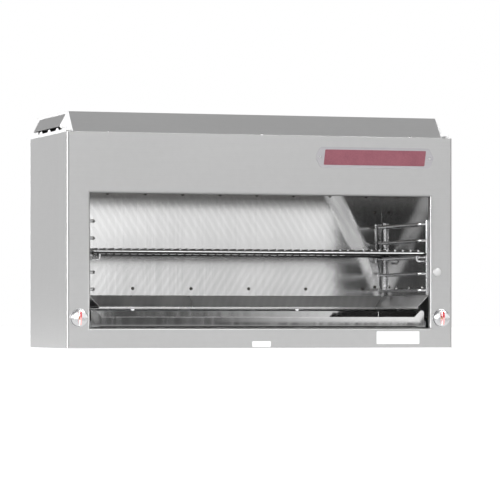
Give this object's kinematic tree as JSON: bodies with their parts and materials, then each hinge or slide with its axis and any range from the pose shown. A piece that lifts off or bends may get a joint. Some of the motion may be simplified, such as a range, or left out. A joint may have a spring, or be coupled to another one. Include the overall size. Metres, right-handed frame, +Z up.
{
  "type": "cheese melter",
  "caption": "Wide open-fronted gas oven for melting cheese: burners in the roof, wire rack on side guides, drip pan, control knobs and a low flue hood.",
  "frame": {"origin": "centre of the case's flat underside", "axes": "+Z up, the open front faces -Y, +X along the width towards the right-hand end as seen from the front"},
  "size_m": [0.914, 0.394, 0.529],
  "materials": {
    "brushed_case": "stainless sheet with a fine brushed grain",
    "bright_trim": "bright sheet, smoother and lighter than the case",
    "galvanised": "zinc-coated sheet with a faint spangle",
    "polished_liner": "polished stainless sheet, heat-tinted near the burners",
    "pan_steel": "polished stainless sheet with faint wear",
    "chrome_wire": "bright plated wire with small welds",
    "burner_steel": "aluminised sheet, dulled by heat",
    "screen_alloy": "heat-darkened alloy rod",
    "burner_ceramic": "perforated ceramic, matt and off-white",
    "mixer_iron": "cast, slightly rough",
    "gas_pipe": "black iron pipe with a mill skin",
    "regulator_alloy": "die-cast, satin",
    "brass": "machined brass",
    "supply_tube": "drawn tube, satin",
    "insulation": "pressed mineral wool, fibrous and matt",
    "knob_chrome": "mirror plated",
    "pointer_red": "red paint in the grip's crest",
    "nameplate_metal": "bright satin plate",
    "enamel_red": "glossy red enamel, left bare",
    "label_white": "blank satin label",
    "screw_steel": "bright plated heads"
  },
  "bodies": {
    "case": {"front_panel": "brushed_case", "left_side_panel": "brushed_case", "right_side_panel": "brushed_case", "rear_panel": "galvanised", "rear_corner_strips": "bright_trim", "bottom_panel": "galvanised", "top_deck": "galvanised", "joining_angles": "galvanised", "wall_rails": "galvanised", "leg_sockets": "gas_pipe", "cavity_back_wall": "polished_liner", "left_liner": "polished_liner", "right_liner": "polished_liner", "cavity_ceiling": "polished_liner", "flue_baffle": "galvanised", "left_burner_housing": "burner_steel", "right_burner_housing": "burner_steel", "burner_tiles": "burner_ceramic", "burner_screens": "screen_alloy", "left_mixer": "mixer_iron", "right_mixer": "mixer_iron", "orifice_spuds": "brass", "heat_shield": "galvanised", "insulation_blankets": "insulation", "gas_manifold": "gas_pipe", "manifold_brackets": "galvanised", "gas_inlet": "gas_pipe", "gas_regulator": "regulator_alloy", "gas_feed_pipe": "gas_pipe", "left_gas_valve": "brass", "right_gas_valve": "brass", "supply_tubes": "supply_tube", "pilot_burners": "brass", "pilot_tubes": "supply_tube", "hood_shell": "brushed_case", "left_hood_flap": "brushed_case", "right_hood_flap": "brushed_case", "hood_cheeks": "bright_trim", "left_vent_strip": "bright_trim", "right_vent_strip": "bright_trim", "left_rack_guide": "chrome_wire", "right_rack_guide": "chrome_wire", "pan_runners": "galvanised", "pan_ledges": "galvanised", "knob_bezels": "knob_chrome", "hole_plug": "knob_chrome", "nameplate": "nameplate_metal", "nameplate_enamel": "enamel_red", "blank_labels": "label_white", "screw_heads": "screw_steel"},
    "rack": {"rack_frame": "chrome_wire", "rack_wires": "chrome_wire"},
    "drip_pan": {"drip_pan": "pan_steel"},
    "left_knob": {"left_knob": "knob_chrome", "left_knob_pointer": "pointer_red", "left_valve_stem": "brass"},
    "right_knob": {"right_knob": "knob_chrome", "right_knob_pointer": "pointer_red", "right_valve_stem": "brass"}
  },
  "joints": [
    {"name": "rack_slide", "type": "slide", "parent": "case", "child": "rack", "axis": [0, -1, 0], "range_m": [0, 0.2]},
    {"name": "pan_slide", "type": "slide", "parent": "case", "child": "drip_pan", "axis": [0, -1, 0], "range_m": [0, 0.25]},
    {"name": "left_knob_turn", "type": "hinge", "parent": "case", "child": "left_knob", "pos_m": [-0.429, -0.184, 0.067], "axis": [0, -1, 0], "range_deg": [0, 90]},
    {"name": "right_knob_turn", "type": "hinge", "parent": "case", "child": "right_knob", "pos_m": [0.429, -0.184, 0.067], "axis": [0, -1, 0], "range_deg": [0, 90]}
  ]
}
